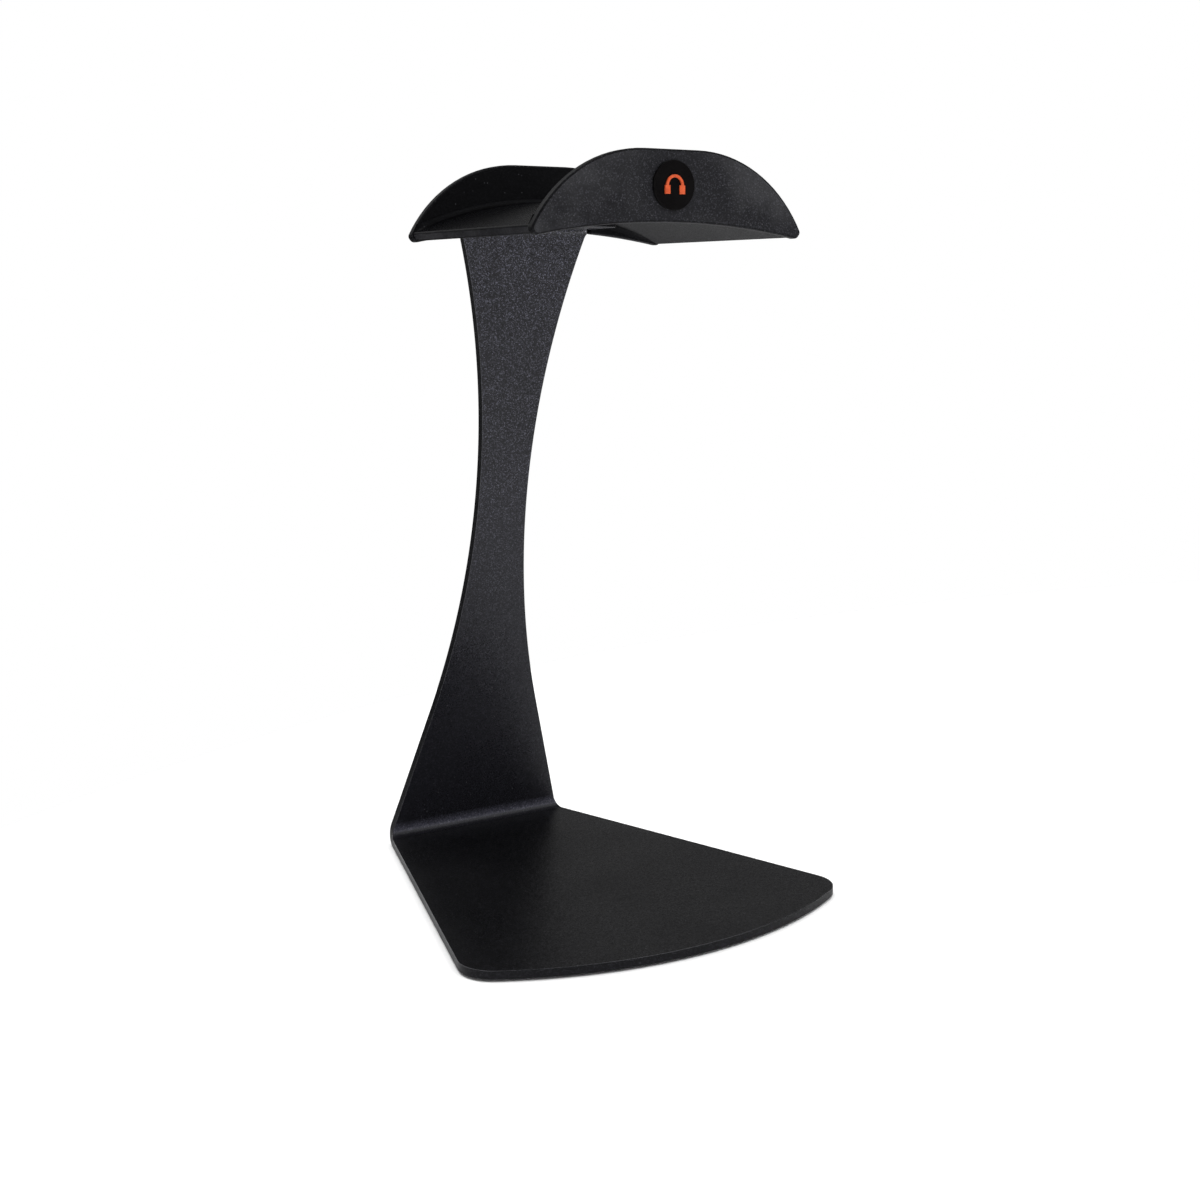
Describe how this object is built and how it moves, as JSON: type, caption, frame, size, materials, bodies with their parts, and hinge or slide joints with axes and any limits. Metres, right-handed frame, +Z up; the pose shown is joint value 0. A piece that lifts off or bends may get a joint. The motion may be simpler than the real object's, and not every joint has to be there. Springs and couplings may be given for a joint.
{
  "type": "headphone stand",
  "caption": "Desk headphone stand: a bent steel sheet base and leaning waisted column, with a welded arched saddle between crescent side plates.",
  "frame": {"origin": "centre of the bounding box in X and Y, at the underside of the feet", "axes": "+Z up, -Y towards the front where the badge is, +X to the right of a viewer who faces the badge"},
  "size_m": [0.1452, 0.1564, 0.2508],
  "materials": {
    "powder_coat": "fine textured black powder coat",
    "coated_weld": "ground weld under black powder coat",
    "badge_black": "near-black satin",
    "badge_orange": "orange-red enamel",
    "foot_rubber": "matt black rubber"
  },
  "bodies": {
    "root": {"stand_frame": "powder_coat", "saddle_rear_plate": "powder_coat", "saddle_front_plate": "powder_coat", "saddle_floor": "powder_coat", "weld_rear_top": "coated_weld", "weld_front_top": "coated_weld", "weld_front_under": "coated_weld", "weld_rear_under_left": "coated_weld", "weld_rear_under_right": "coated_weld", "weld_tab_left": "coated_weld", "weld_tab_right": "coated_weld", "badge_disc": "badge_black", "badge_mark": "badge_orange", "foot_front_left": "foot_rubber", "foot_front_right": "foot_rubber", "foot_rear_left": "foot_rubber", "foot_rear_right": "foot_rubber"}
  },
  "joints": []
}
